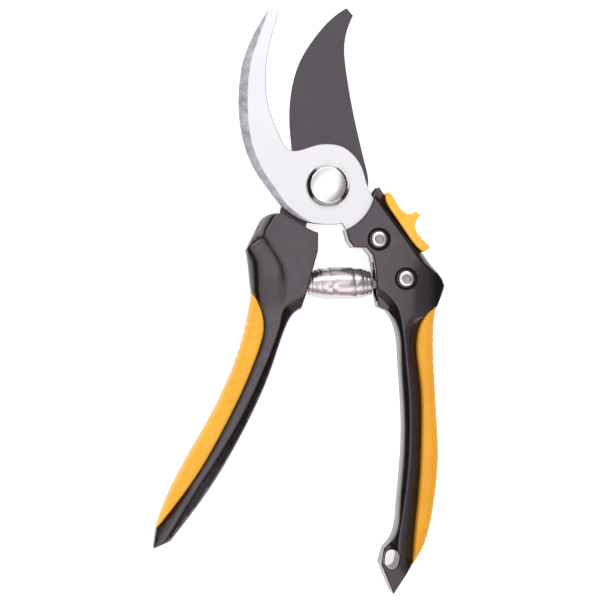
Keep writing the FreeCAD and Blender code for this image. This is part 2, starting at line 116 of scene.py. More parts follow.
def smooth_line(points, step):
    """Points about a step apart on a smooth open curve through the given ones."""
    p = np.array(points, float)
    if len(p) > 2:
        ends = np.vstack([2 * p[0] - p[1], p, 2 * p[-1] - p[-2]])
        knots = np.concatenate([[0], np.cumsum(np.hypot(*np.diff(ends, axis=0).T) ** 0.5)])
        dense = []
        for i in range(1, len(ends) - 2):
            t0, t1, t2, t3 = knots[i - 1:i + 3]
            t = np.linspace(t1, t2, 24, endpoint=False)[:, None]
            a1 = (t1 - t) / (t1 - t0) * ends[i - 1] + (t - t0) / (t1 - t0) * ends[i]
            a2 = (t2 - t) / (t2 - t1) * ends[i] + (t - t1) / (t2 - t1) * ends[i + 1]
            a3 = (t3 - t) / (t3 - t2) * ends[i + 1] + (t - t2) / (t3 - t2) * ends[i + 2]
            b1 = (t2 - t) / (t2 - t0) * a1 + (t - t0) / (t2 - t0) * a2
            b2 = (t3 - t) / (t3 - t1) * a2 + (t - t1) / (t3 - t1) * a3
            dense.append((t2 - t) / (t2 - t1) * b1 + (t - t1) / (t2 - t1) * b2)
        p = np.vstack(dense + [p[-1:]])
    run = np.concatenate([[0], np.cumsum(np.hypot(*np.diff(p, axis=0).T))])
    at = np.linspace(0, run[-1], max(2, int(round(run[-1] / step)) + 1))
    return np.column_stack([np.interp(at, run, p[:, k]) for k in (0, 1)])


def even_loop(loop, step, corner=11.5):
    """A closed outline with even points, its corners kept sharp and the rest smoothed."""
    ahead = np.roll(loop, -1, 0) - loop
    angle = np.degrees(np.arctan2(ahead[:, 1], ahead[:, 0]))
    turn = (angle - np.roll(angle, 1) + 180) % 360 - 180
    corners = [i for i in range(len(loop)) if abs(turn[i]) > corner] or [0]
    out = []
    for a, b in zip(corners, corners[1:] + [corners[0] + len(loop)]):
        run = [loop[i % len(loop)] for i in range(a, b + 1)]
        out.append(smooth_line(run, step)[:-1])
    return np.vstack(out)


def inset(loop, distance):
    """The outline moved inwards, point by point."""
    before = loop - np.roll(loop, 1, 0)
    after = np.roll(loop, -1, 0) - loop
    n0 = np.column_stack([-before[:, 1], before[:, 0]]) / np.hypot(*before.T)[:, None]
    n1 = np.column_stack([-after[:, 1], after[:, 0]]) / np.hypot(*after.T)[:, None]
    middle = n0 + n1
    size = (middle ** 2).sum(1)
    reach = np.where(size > 0.5, 2 / np.maximum(size, 0.5), 1.4)
    return loop + distance * middle * reach[:, None]


def in_loop(points, loop):
    """Which points are inside a closed outline."""
    inside = np.zeros(len(points), bool)
    x, y = points.T
    for (ax, ay), (bx, by) in zip(loop, np.roll(loop, -1, 0)):
        if ay != by:
            inside ^= ((ay > y) != (by > y)) & (x < (bx - ax) * (y - ay) / (by - ay) + ax)
    return inside


def beyond(points, line):
    """Signed distance from a polyline, positive on its left."""
    line = np.array(line, float)
    start, step = line[:-1], np.diff(line, axis=0)
    best = np.full(len(points), 1e9)
    sign = np.ones(len(points))
    for (ax, ay), (dx, dy) in zip(start, step):
        rx, ry = points[:, 0] - ax, points[:, 1] - ay
        t = np.clip((rx * dx + ry * dy) / (dx * dx + dy * dy), 0, 1)
        ox, oy = rx - t * dx, ry - t * dy
        d = np.hypot(ox, oy)
        near = d < best - 1e-9
        best = np.where(near, d, best)
        sign = np.where(near, np.where(dx * ry - dy * rx >= 0, 1.0, -1.0), sign)
    return best * sign


def from_line(points, line):
    """Distance to an open line."""
    return np.abs(beyond(points, line))


def from_edge(points, loop):
    """Distance to a closed outline."""
    return from_line(points, np.vstack([loop, loop[:1]]))


def moved(line, distance):
    """A line moved to its left."""
    line = np.array(line, float)
    along = np.gradient(line, axis=0)
    along /= np.hypot(*along.T)[:, None]
    return line + distance * np.column_stack([-along[:, 1], along[:, 0]])


def ramp(t):
    """A smooth step from 0 to 1."""
    t = np.clip(t, 0, 1)
    return t * t * (3 - 2 * t)


# ---------------------------------------------------------------- plates

def flat_face(points):
    """No drop anywhere."""
    return np.zeros(len(points))


def circle(centre, radius, count=36):
    """Even points round a circle."""
    angle = np.linspace(0, 2 * math.pi, count, endpoint=False)
    return np.column_stack([centre[0] + radius * np.cos(angle), centre[1] + radius * np.sin(angle)])


def skin(rim, openings, lines, step):
    """Triangles across an outline around openings, with the crease lines kept as edges."""
    points, edges, fixed = [], [], []
    for loop in [rim] + openings:
        first = len(points)
        points += list(loop)
        edges += [(first + i, first + (i + 1) % len(loop)) for i in range(len(loop))]
        fixed.append(range(first, len(points)))
    walls = np.array(points)

    def open_at(p, room):
        ok = in_loop(p, rim)
        for hole in openings:
            ok &= ~in_loop(p, hole)
        for k in range(0, len(walls), 200):
            some = walls[None, k:k + 200]
            gap = np.hypot(p[:, None, 0] - some[:, :, 0], p[:, None, 1] - some[:, :, 1])
            ok &= gap.min(1) > room
        return ok

    for line in lines:
        keep = open_at(line, 0.3 * step)
        first = len(points)
        number = np.cumsum(keep) - 1
        points += list(line[keep])
        edges += [(first + number[i], first + number[i + 1]) for i in range(len(line) - 1)
                  if keep[i] and keep[i + 1]]
    walls = np.array(points)
    lo, hi = rim.min(0), rim.max(0)
    rows = np.arange(lo[1], hi[1], step * 0.866)
    columns = np.arange(lo[0], hi[0], step)
    grid = np.array([(x + (k % 2) * step / 2, y) for k, y in enumerate(rows) for x in columns])
    points += list(grid[open_at(grid, 0.55 * step)])
    edges = [(int(a), int(b)) for a, b in edges]
    done = delaunay_2d_cdt([Vector(p) for p in points], edges, [], 0, 1e-6, True)
    flat = np.array([v[:] for v in done[0]])
    place = {}
    for new, old in enumerate(done[3]):
        for k in old:
            place[k] = new
    tris = [tuple(t) for t in done[2] if len(t) == 3]
    middle = flat[np.array(tris)].mean(1)
    ok = in_loop(middle, rim)
    for hole in openings:
        ok &= ~in_loop(middle, hole)
    tris = [t for t, keep in zip(tris, ok) if keep]
    return flat, tris, [[place[k] for k in loop] for loop in fixed]


class Solid:
    """Vertices and faces as they are collected, in mm."""

    def __init__(self):
        self.verts = []
        self.faces = []
        self.slots = []

    def add(self, points):
        first = len(self.verts)
        self.verts += [tuple(p) for p in points]
        return list(range(first, len(self.verts)))

    def face(self, corners, slot=0):
        self.faces.append(tuple(corners))
        self.slots.append(slot)

    def band(self, one, two, slot=0):
        """Quads from one closed row of points to the next."""
        for i in range(len(one)):
            j = (i + 1) % len(one)
            self.face((one[i], one[j], two[j], two[i]), slot)

    def build(self, name, materials, sharp=32.0, cutters=()):
        mesh = bpy.data.meshes.new(name)
        mesh.from_pydata([(x * MM, y * MM, z * MM) for x, y, z in self.verts], [], self.faces)
        for material in materials:
            mesh.materials.append(material)
        for polygon, slot in zip(mesh.polygons, self.slots):
            polygon.material_index = slot
        piece = bpy.data.objects.new(name, mesh)
        bpy.context.scene.collection.objects.link(piece)
        bm = bmesh.new()
        bm.from_mesh(mesh)
        bmesh.ops.remove_doubles(bm, verts=bm.verts, dist=2e-6)
        bm.to_mesh(mesh)
        bm.free()
        if cutters:
            carve(piece, cutters)
        finish_edges(piece.data, sharp)
        return piece


def finish_edges(mesh, sharp):
    """Smooth shading, broken where two faces meet at more than an angle."""
    bm = bmesh.new()
    bm.from_mesh(mesh)
    limit = math.radians(sharp)
    for face in bm.faces:
        face.smooth = True
    for edge in bm.edges:
        edge.smooth = len(edge.link_faces) == 2 and edge.calc_face_angle(0) < limit
    bm.to_mesh(mesh)
    bm.free()


def carve(piece, cutters):
    """Cuts closed shapes out of a piece, one after another."""
    for add in cutters:
        tool = Solid()
        add(tool)
        cutter = tool.build(piece.name + "_cutter", [])
        cut = piece.modifiers.new("cut", "BOOLEAN")
        cut.operation = "DIFFERENCE"
        cut.solver = "EXACT"
        cut.use_hole_tolerant = True
        cut.object = cutter
        graph = bpy.context.evaluated_depsgraph_get()
        result = bpy.data.meshes.new_from_object(piece.evaluated_get(graph))
        piece.modifiers.clear()
        piece.data = result
        bpy.data.objects.remove(cutter)


def prism(corners, z0, z1):
    """A cutter: a polygon between two heights."""
    def add(solid):
        loop = np.array(corners, float)
        if area(loop) < 0:
            loop = loop[::-1]
        under = solid.add([(x, y, z0) for x, y in loop])
        over = solid.add([(x, y, z1) for x, y in loop])
        solid.band(under, over)
        solid.face(over)
        solid.face(under[::-1])
    return add


def bore(centre, radius, x0, x1, count=48):
    """A cutter: a round bore along X."""
    def add(solid):
        angle = np.linspace(0, 2 * math.pi, count, endpoint=False)
        y, z = centre[0] + radius * np.cos(angle), centre[1] + radius * np.sin(angle)
        rows = [solid.add([(x, *point) for point in zip(y, z)]) for x in (x0, x1)]
        solid.band(rows[0], rows[1])
        solid.face(rows[1])
        solid.face(rows[0][::-1])
    return add


def plate(name, outline, top, bottom, front, back, materials, lines=(), back_lines=(), holes=(), wells=(),
          back_wells=(), sunk_taper=0.0, step=0.8, edge=0.35, thin=0.5, rough=None, sharp=32.0, cutters=()):
    """A carved plate. front and back give the drop below the flat faces at each point. wells are
    (centre, radius, depth) blind round sinkings, holes go through, and rough says which points take the
    second material."""
    rim = even_loop(outline, step)
    inner = inset(rim, edge)
    solid = Solid()
    middle = (top + bottom) / 2

    def heights(points, facing):
        """The z of the front face for facing 1, of the back face for facing -1."""
        if facing > 0:
            return np.maximum(top - front(points), middle + thin / 2)
        return np.minimum(bottom + back(points), middle - thin / 2)

    rims, walls = {}, {}
    for facing, extra, sunk in ((1, lines, wells), (-1, back_lines, back_wells)):
        openings = [inset(np.array(h), -edge) for h in holes]
        openings += [circle(c, r + edge) for c, r, deep in sunk]
        flat, tris, fixed = skin(inner, openings, [np.array(line) for line in extra], step)
        z = heights(flat, facing)
        index = solid.add(np.column_stack([flat, z]))
        middles = flat[np.array(tris)].mean(1)
        marked = rough(middles, facing) if rough else np.zeros(len(tris), bool)
        for (a, b, c), slot in zip(tris, marked):
            solid.face((index[a], index[b], index[c])[::facing], int(slot))

        def ring(loop, drop):
            return solid.add([(x, y, w - facing * drop) for (x, y), w in zip(loop, heights(loop, facing))])

        rims[facing] = ring(rim, edge)
        start = [index[k] for k in fixed[0]]
        marked = rough(rim, facing) if rough else np.zeros(len(rim), bool)
        for i in range(len(rim)):
            j = (i + 1) % len(rim)
            corners = (rims[facing][i], rims[facing][j], start[j], start[i])
            solid.face(corners[::facing], int(marked[i]))
        for number, hole in enumerate(holes):
            hole = np.array(hole)
            walls[facing, number] = ring(hole, edge)
            lip = [index[k] for k in fixed[1 + number]]
            solid.band(*((lip, walls[facing, number]) if facing > 0 else (walls[facing, number], lip)))
        for number, (centre, radius, deep) in enumerate(sunk):
            lip = [index[k] for k in fixed[1 + len(holes) + number]]
            mouth = circle(centre, radius)
            wall = ring(mouth, edge)
            floor_z = heights(np.array([centre]), facing)[0] - facing * deep
            narrow = circle(centre, radius - sunk_taper * deep)
            foot = solid.add([(x, y, floor_z) for x, y in narrow])
            hub = solid.add([(centre[0], centre[1], floor_z)])
            rows = [lip, wall, foot, hub * len(foot)]
            for one, two in zip(rows, rows[1:]):
                for i in range(len(one)):
                    j = (i + 1) % len(one)
                    corners = (one[i], one[j], two[0]) if two is rows[3] else (one[i], one[j], two[j], two[i])
                    solid.face(corners[::facing])
    for i in range(len(rim)):
        j = (i + 1) % len(rim)
        marked = bool(rough and rough(rim[i:i + 1], 0)[0])
        solid.face((rims[-1][i], rims[-1][j], rims[1][j], rims[1][i]), int(marked))
    for number in range(len(holes)):
        solid.band(walls[1, number], walls[-1, number])
    return solid.build(name, materials, sharp, cutters)


def turned(name, profile, materials, count, sharp):
    """A shape turned about the pivot. profile is (radius, z) from the top's middle, down the outside."""
    solid = Solid()
    rows = [solid.add(turned_row((0, 0), lambda r, angle: r, radius, z, count)) for radius, z in profile]
    for one, two in zip(rows, rows[1:]):
        solid.band(two, one)
    return solid.build(name, materials, sharp)


def turned_row(centre, limit, radius, z, count):
    """The points of a ring about a vertical axis. limit gives the radius that is kept at each angle."""
    row = []
    for angle in np.linspace(0, 2 * math.pi, count, endpoint=False):
        r = limit(radius, angle)
        row.append((centre[0] + r * math.cos(angle), centre[1] + r * math.sin(angle), z))
    return row


def turned_ring(solid, profile, centre, count, limit):
    """Adds a turned shape whose profile closes on itself round a hole."""
    rows = [solid.add(turned_row(centre, limit, radius, z, count)) for radius, z in profile]
    for one, two in zip(rows, rows[1:] + rows[:1]):
        solid.band(two, one)


def hexagon(flat):
    """A limit on the radius for a hexagon of that half width, so that a turned shape takes its flats."""
    def at(radius, angle):
        part = (angle + math.pi / 6) % (math.pi / 3) - math.pi / 6
        return min(radius, flat / math.cos(part))
    return at


# ---------------------------------------------------------------- materials

def material(name, **values):
    """A material with its shader, ready for its nodes."""
    made = bpy.data.materials.new(name)
    made.use_nodes = True
    shader = made.node_tree.nodes["Principled BSDF"]
    for key, value in values.items():
        shader.inputs[key.replace("_", " ")].default_value = value
    return made


def texture(made, kind, scale, stretch=(1, 1, 1), turn=0.0, **values):
    """A procedural texture in the part's own coordinates. scale is features per millimetre."""
    tree = made.node_tree
    where = tree.nodes.new("ShaderNodeTexCoord")
    mapping = tree.nodes.new("ShaderNodeMapping")
    mapping.inputs["Scale"].default_value = [s / MM * scale for s in stretch]
    mapping.inputs["Rotation"].default_value = (0, 0, turn)
    tree.links.new(where.outputs["Object"], mapping.inputs["Vector"])
    node = tree.nodes.new(kind)
    for key, value in values.items():
        if key in node.inputs:
            node.inputs[key].default_value = value
        else:
            setattr(node, key, value)
    if "Scale" in node.inputs:
        node.inputs["Scale"].default_value = 1.0
    tree.links.new(mapping.outputs["Vector"], node.inputs["Vector"])
    return node.outputs[0]


def colours(made, factor, stops):
    """A colour ramp from a texture into the base colour. stops are (position, colour)."""
    tree = made.node_tree
    ramp_node = tree.nodes.new("ShaderNodeValToRGB")
    while len(ramp_node.color_ramp.elements) < len(stops):
        ramp_node.color_ramp.elements.new(0.5)
    for element, (position, colour) in zip(ramp_node.color_ramp.elements, stops):
        element.position = position
        element.color = (*colour, 1.0)
    tree.links.new(factor, ramp_node.inputs["Fac"])
    tree.links.new(ramp_node.outputs["Color"], tree.nodes["Principled BSDF"].inputs["Base Color"])


def varied(made, factor, lowest, highest):
    """A texture spread between two values, as the roughness."""
    tree = made.node_tree
    spread = tree.nodes.new("ShaderNodeMapRange")
    spread.inputs["From Min"].default_value = 0.3
    spread.inputs["From Max"].default_value = 0.7
    spread.inputs["To Min"].default_value = lowest
    spread.inputs["To Max"].default_value = highest
    tree.links.new(factor, spread.inputs["Value"])
    tree.links.new(spread.outputs["Result"], tree.nodes["Principled BSDF"].inputs["Roughness"])


def bumps(made, factor, depth):
    """A texture as relief, depth in mm. Several add up."""
    tree = made.node_tree
    bump = tree.nodes.new("ShaderNodeBump")
    bump.inputs["Strength"].default_value = 1.0
    bump.inputs["Distance"].default_value = depth * MM
    tree.links.new(factor, bump.inputs["Height"])
    shader = tree.nodes["Principled BSDF"]
    if shader.inputs["Normal"].is_linked:
        tree.links.new(shader.inputs["Normal"].links[0].from_socket, bump.inputs["Normal"])
    tree.links.new(bump.outputs["Normal"], shader.inputs["Normal"])


def mixed(made, one, two, factor=0.5):
    """Two textures mixed into one."""
    tree = made.node_tree
    blend = tree.nodes.new("ShaderNodeMix")
    blend.inputs["Factor"].default_value = factor
    tree.links.new(one, blend.inputs["A"])
    tree.links.new(two, blend.inputs["B"])
    return blend.outputs["Result"]


def black_lacquer():
    """Glossy black coating on the die-cast handles."""
    made = material("black_lacquer", Roughness=0.24, IOR=1.85, Specular_Tint=(1.0, 0.86, 0.95, 1.0))
    cloud = texture(made, "ShaderNodeTexNoise", 0.06, Detail=4.0)
    colours(made, cloud, [(0.3, (0.0048, 0.0040, 0.0045)), (0.7, (0.0072, 0.0060, 0.0068))])
    varied(made, texture(made, "ShaderNodeTexNoise", 0.35, Detail=3.0), 0.21, 0.29)
    bumps(made, texture(made, "ShaderNodeTexNoise", 0.7, Detail=2.0), 0.0025)
    return made


def blade_coating():
    """Dark non-stick coating on the blade."""
    made = material("blade_coating", Roughness=0.34, IOR=1.8, Specular_Tint=(1.0, 0.90, 1.0, 1.0))
    cloud = texture(made, "ShaderNodeTexNoise", 0.08, Detail=5.0)
    colours(made, cloud, [(0.3, (0.0125, 0.0105, 0.0118)), (0.7, (0.018, 0.0155, 0.017))])
    varied(made, texture(made, "ShaderNodeTexNoise", 0.5, Detail=3.0), 0.31, 0.40)
    bumps(made, texture(made, "ShaderNodeTexNoise", 3.5, Detail=2.0), 0.006)
    return made


def satin_steel():
    """The hook's lightly brushed face."""
    made = material("satin_face", Metallic=1.0, Roughness=0.36)
    grain = texture(made, "ShaderNodeTexNoise", 0.9, stretch=(1, 0.12, 1), turn=0.35, Detail=4.0)
    cloud = texture(made, "ShaderNodeTexNoise", 0.05, Detail=3.0)
    colours(made, mixed(made, grain, cloud), [(0.35, (0.73, 0.72, 0.75)), (0.65, (0.79, 0.78, 0.81))])
    varied(made, grain, 0.32, 0.42)
    bumps(made, grain, 0.010)
    return made


def blasted_steel():
    """The hook's outer bevel, left rough from the forging."""
    made = material("blasted_bevel", Metallic=1.0, Roughness=0.5)
    pits = texture(made, "ShaderNodeTexNoise", 2.2, Detail=5.0, Roughness=0.7)
    cloud = texture(made, "ShaderNodeTexNoise", 0.25, Detail=3.0)
    colours(made, mixed(made, pits, cloud, 0.35), [(0.32, (0.22, 0.21, 0.25)), (0.68, (0.86, 0.85, 0.90))])
    varied(made, pits, 0.40, 0.62)
    bumps(made, pits, 0.25)
    return made


def ground_steel(name, tone, rough, scale=2.0, depth=0.006, stretch=(1, 1, 1)):
    """Bare metal with fine marks."""
    made = material(name, Metallic=1.0, Roughness=rough)
    grain = texture(made, "ShaderNodeTexNoise", scale, stretch=stretch, Detail=4.0)
    colours(made, grain, [(0.3, tuple(0.88 * c for c in tone)), (0.7, tone)])
    varied(made, texture(made, "ShaderNodeTexNoise", 0.4, Detail=3.0), 0.85 * rough, 1.2 * rough)
    bumps(made, grain, depth)
    return made


def turned_steel(name, centre, tone, rough, pitch=0.35, depth=0.006):
    """Bright metal with the rings that a lathe leaves about a vertical axis."""
    made = material(name, Metallic=1.0, Roughness=rough)
    tree = made.node_tree
    where = tree.nodes.new("ShaderNodeTexCoord")
    mapping = tree.nodes.new("ShaderNodeMapping")
    mapping.inputs["Location"].default_value = (-centre[0] * MM, -centre[1] * MM, 0)
    rings = tree.nodes.new("ShaderNodeTexWave")
    rings.wave_type = "RINGS"
    rings.rings_direction = "Z"
    rings.inputs["Scale"].default_value = 0.05 / (pitch * MM)
    rings.inputs["Distortion"].default_value = 0.4
    rings.inputs["Detail"].default_value = 2.0
    tree.links.new(where.outputs["Object"], mapping.inputs["Vector"])
    tree.links.new(mapping.outputs["Vector"], rings.inputs["Vector"])
    cloud = texture(made, "ShaderNodeTexNoise", 0.3, Detail=3.0)
    colours(made, cloud, [(0.3, tuple(0.93 * c for c in tone)), (0.7, tone)])
    varied(made, cloud, 0.85 * rough, 1.25 * rough)
    bumps(made, rings.outputs[0], depth)
    return made


def yellow_rubber(name, dark, light):
    """Soft overmoulded pads with a fine matt texture."""
    made = material(name, Roughness=0.5, IOR=1.47)
    cloud = texture(made, "ShaderNodeTexNoise", 0.08, Detail=4.0)
    colours(made, cloud, [(0.3, dark), (0.7, light)])
    varied(made, texture(made, "ShaderNodeTexNoise", 0.6, Detail=3.0), 0.44, 0.56)
    bumps(made, texture(made, "ShaderNodeTexNoise", 4.0, Detail=3.0), 0.02)
    return made


def yellow_plastic():
    """Moulded plastic of the thumb lock."""
    made = material("yellow_plastic", Roughness=0.36, IOR=1.5)
    cloud = texture(made, "ShaderNodeTexNoise", 0.12, Detail=4.0)
    colours(made, cloud, [(0.3, (0.97, 0.52, 0.040)), (0.7, (1.0, 0.58, 0.055))])
    varied(made, texture(made, "ShaderNodeTexNoise", 0.8, Detail=3.0), 0.31, 0.42)
    bumps(made, texture(made, "ShaderNodeTexNoise", 3.0, Detail=3.0), 0.012)
    return made


LACQUER = black_lacquer()
COATING = blade_coating()
FACE = satin_steel()
BLASTED = blasted_steel()
RUBBER_LEFT = yellow_rubber("yellow_rubber_left", (0.95, 0.45, 0.027), (1.0, 0.50, 0.038))
# The right pad is the same rubber as the left in a deeper tone: painted shade for the lesser light falling on that
# side.
RUBBER_RIGHT_SHADED = yellow_rubber("yellow_rubber_right_painted_shade", (0.88, 0.38, 0.018), (0.94, 0.43, 0.028))
PLASTIC = yellow_plastic()
GROUND = ground_steel("ground_bevel", (0.62, 0.61, 0.62), 0.3, 2.4, 0.006, (1, 0.15, 1))
PLAIN = ground_steel("plain_steel_marks", (0.55, 0.54, 0.55), 0.38)
SPRING_STEEL = ground_steel("blued_spring_steel", (0.34, 0.34, 0.38), 0.34)
BRONZE = ground_steel("bronze_marks", (0.66, 0.40, 0.20), 0.35)
BOLT_STEEL = turned_steel("polished_bolt", (0, 0), (0.80, 0.78, 0.77), 0.16)
NUT_STEEL = ground_steel("plated_nut", (0.72, 0.71, 0.70), 0.24)
SCREW_STEEL = ground_steel("polished_screw", (0.84, 0.80, 0.79), 0.24, 1.0, 0.004)
# The socket's darker tone is painted shade inside the recess; its rougher marks are the steel's own.
SOCKET_STEEL_SHADED = ground_steel("screw_socket_painted_shade", (0.42, 0.39, 0.38), 0.45, 1.0, 0.01)
CHROME = ground_steel("chromed_strip", (0.66, 0.59, 0.62), 0.27, 1.2, 0.004, (3, 0.3, 0.3))


# ---------------------------------------------------------------- pieces

def disc_centres(node, z):
    """The middles of a node's round faces at a height."""
    return [loop.mean(0) for loop in level_loops(node, z)]


def slot_heights(node):
    """A casting's slot: the heights of the part that sits in it, with room."""
    return low(node)[2] - 0.1, high(node)[2] + 0.1


HANDLE_TOP = high("left_handle")[2]
HANDLE_BOTTOM = low("left_handle")[2]
PIN_CENTRES = disc_centres("blade_tang_pins", low("blade_tang_pins")[2])
SCREW_CENTRES = disc_centres("handle_screws", high("handle_screws")[2])
SPRING_AXIS = (low("left_spring_seat")[1:] + high("left_spring_seat")[1:]) / 2
SPRING_RECESS = 5.2
# Blind sinkings in the castings: radius, and depth where it isn't set by a floor's height.
PIN_WELL = (2.35, 0.5)
NUT_WELL = (4.2, 2.4)
SCREW_WELL = 3.95
SCREW_WELL_FLOOR = 14.2


def grip_runs(node):
    """A grip's inner line, where it meets its handle, and its outer line, both from the top end down."""
    loop = level_loops(node, low(node)[2])[0]
    upper, lower = int(loop[:, 1].argmax()), int(loop[:, 1].argmin())

    def run(first, last):
        return np.array([loop[i % len(loop)] for i in range(first, first + (last - first) % len(loop) + 1)])

    return sorted((run(upper, lower), run(lower, upper)[::-1]), key=lambda line: abs(line[:, 0]).mean())


# How deep the left casting's outer flank rolls off, and how far its grip goes along with that.
FLANK_DEEPEST = 4.0
GRIP_FOLLOWS = 1.5
LEFT_SEAM, LEFT_OUTER = grip_runs("left_grip")
RIGHT_SEAM, RIGHT_OUTER = grip_runs("right_grip")


def facets(d, *pieces):
    """The drop at a distance beyond a crease, as facets one after another. Each piece is (width, slope)."""
    drop = np.zeros(len(d))
    begin = 0.0
    for width, slope in pieces:
        drop += slope * np.clip(d - begin, 0, width)
        begin += width
    return drop


def round_over(d, width, deep):
    """A rounded shoulder: the drop at a distance from an edge."""
    t = np.clip(1 - np.clip(d, 0, width) / width, 0, 1)
    return deep * (1 - np.sqrt(np.clip(1 - t * t, 0, 1)))


# The spacing of points along the castings' and blades' crease lines.
STEP = 0.8
# The creases of the left casting, from the pivot's end down.
LEFT_SHOULDER = smooth_line([(-16.4, -7.4), (-18.9, -11.2), (-24.3, -19.5), (-27.6, -22.0),
                             (-30.6, -23.8)], STEP)
LEFT_FLANK = smooth_line([(-28.4, -20.0), (-26.2, -23.4), (-24.4, -26.5), (-23.8, -32.0), (-23.4, -40.0),
                          (-22.2, -46.0), (-21.6, -52.0), (-22.6, -59.0), (-27.0, -70.0)], STEP)
LEFT_SCOOP = smooth_line([(-23.4, -16.6), (-21.6, -19.5), (-18.1, -24.9), (-16.0, -29.2), (-15.2, -35.4),
                          (-15.6, -44.0)], STEP)
LEFT_INNER = smooth_line([(-6.0, -37.4), (-8.2, -39.2), (-15.7, -44.0), (-18.1, -52.3), (-23.6, -66.7),
                          (-30.3, -81.1), (-38.6, -95.5), (-48.0, -109.9), (-57.8, -125.8),
                          (-61.0, -131.0)], STEP)
LEFT_FOOT = smooth_line([(-45.6, -103.4), (-49.5, -109.9), (-53.5, -116.2), (-58.0, -123.4), (-64.5, -133.5)],
                        STEP)


def left_drop(p):
    """The left casting's drop: shoulder, outer flank, scoop, foot, inner bevel, seam and doming."""
    drop = facets(-beyond(p, LEFT_SHOULDER), (0.4, 0.5), (1.5, 0.95), (0.5, 1.8), (9, 3.0))
    drop = np.maximum(drop, ramp((-20.5 - p[:, 1]) / 2) * flank_roll(p, FLANK_DEEPEST))
    fade = ramp((p[:, 1] + 46) / 14)
    drop += 1.15 * fade * ramp((0.4 - beyond(p, LEFT_SCOOP)) / 3.0)
    foot = ramp((-106 - p[:, 1]) / 5)
    drop = np.maximum(drop, foot * facets(-beyond(p, LEFT_FOOT), (0.4, 0.35), (9, 0.6)))
    drop = np.maximum(drop, facets(beyond(p, LEFT_INNER), (0.4, 0.5), (9, 0.85)))
    drop = np.maximum(drop, round_over(from_line(p, LEFT_SEAM), 1.6, 0.9))
    return drop + doming(p, (-9.0, -36.0), 0.0022)


def flank_roll(p, deepest):
    """The soft roll of the left casting's outer flank, which fades down the handle."""
    return ramp((p[:, 1] + 56) / 16) * np.minimum(0.16 * np.clip(-beyond(p, LEFT_FLANK), 0, 9) ** 2, deepest)


def doming(p, centre, bend):
    """A very slight doming of the cast faces."""
    d = np.hypot(p[:, 0] - centre[0], 0.6 * (p[:, 1] - centre[1]))
    return bend * np.minimum(d, 22) ** 2


def crease_set(line, *offsets):
    """A line and copies of it moved to its left, so that a bevel's facets have edges to bend at."""
    return [line] + [moved(line, distance) for distance in offsets]


def make_left_handle():
    """The left casting, with the blade's slot and the spring's recess."""
    outline = level_loops("left_handle", HANDLE_BOTTOM)[0]
    lines = crease_set(LEFT_SHOULDER, -0.4, 0.25, -1.9, -2.4)
    lines += crease_set(LEFT_INNER, 0.4, -0.25) + crease_set(LEFT_FOOT, -0.4)
    lines += [moved(smooth_line(LEFT_SEAM, STEP), side) for side in (0.5, 1.0, -0.5, -1.0)]
    tang_slot = [(-19.0, -4.0), (-21.4, -16.2), (-23.3, -24.0), (-22.9, -45.0), (-18.1, -46.0), (-15.2, -31.0),
                 (-12.2, -22.8), (-4.6, -11.7)]
    spring_recess = bore(SPRING_AXIS, SPRING_RECESS, low("left_spring_seat")[0], 4.0)
    piece = plate("handle_left", outline, HANDLE_TOP, HANDLE_BOTTOM, left_drop, left_drop, [LACQUER],
                  lines=lines, back_lines=lines, edge=0.35, thin=2.0,
                  back_wells=[(tuple(c), *PIN_WELL) for c in PIN_CENTRES],
                  cutters=[prism(tang_slot, *slot_heights("cutting_blade")), spring_recess])
    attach(piece, "blade_side")
    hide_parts("left_handle")


# The creases of the right casting, from the pivot's end down.
RIGHT_SHOULDER = smooth_line([(14.6, -1.7), (17.4, -5.5), (27.05, -18.55), (36.7, -31.6), (40.6, -34.6),
                              (46.0, -38.6)], STEP)
RIGHT_INNER = smooth_line([(13.0, -34.6), (17.7, -36.8), (20.5, -38.2), (23.8, -41.5), (26.0, -45.4),
                           (27.3, -52.0), (28.4, -59.8), (29.7, -74.0), (30.2, -88.0), (29.8, -99.0),
                           (28.7, -110.0), (27.2, -120.0), (25.9, -128.0), (25.6, -134.0), (25.7, -141.0),
                           (26.0, -150.0)], STEP)


def heel_drop(p):
    """The soft roll at the right handle's outer corner, which its grip follows."""
    low_part = ramp((-25 - p[:, 1]) / 8) * ramp((p[:, 1] + 56) / 14)
    return low_part * 0.020 * np.clip(p[:, 0] - 30.0, 0, None) ** 2


def right_drop(p):
    """The right casting's drop: lock edge, corner, inner bevel, roll to the seam and doming."""
    from_tip = ramp((-3.0 - p[:, 1]) / 7)
    drop = facets(beyond(p, RIGHT_SHOULDER), (0.35, 0.4), (1.4, 0.85), (0.5, 1.6), (9, 2.8))
    drop = np.minimum(drop, 1.9 + 9 * from_tip)
    drop = np.maximum(drop, heel_drop(p))
    above_foot = ramp((p[:, 1] + 139) / 8)
    drop = np.maximum(drop, above_foot * facets(-beyond(p, RIGHT_INNER), (0.4, 0.5), (2.4, 0.9), (9, 0.1)))
    body = ramp((-46 - p[:, 1]) / 6)
    drop = np.maximum(drop, body * 1.9 * np.clip(1 - from_line(p, RIGHT_SEAM) / 5.2, 0, 1) ** 2)
    return drop + doming(p, (24.0, -34.0), 0.0018)


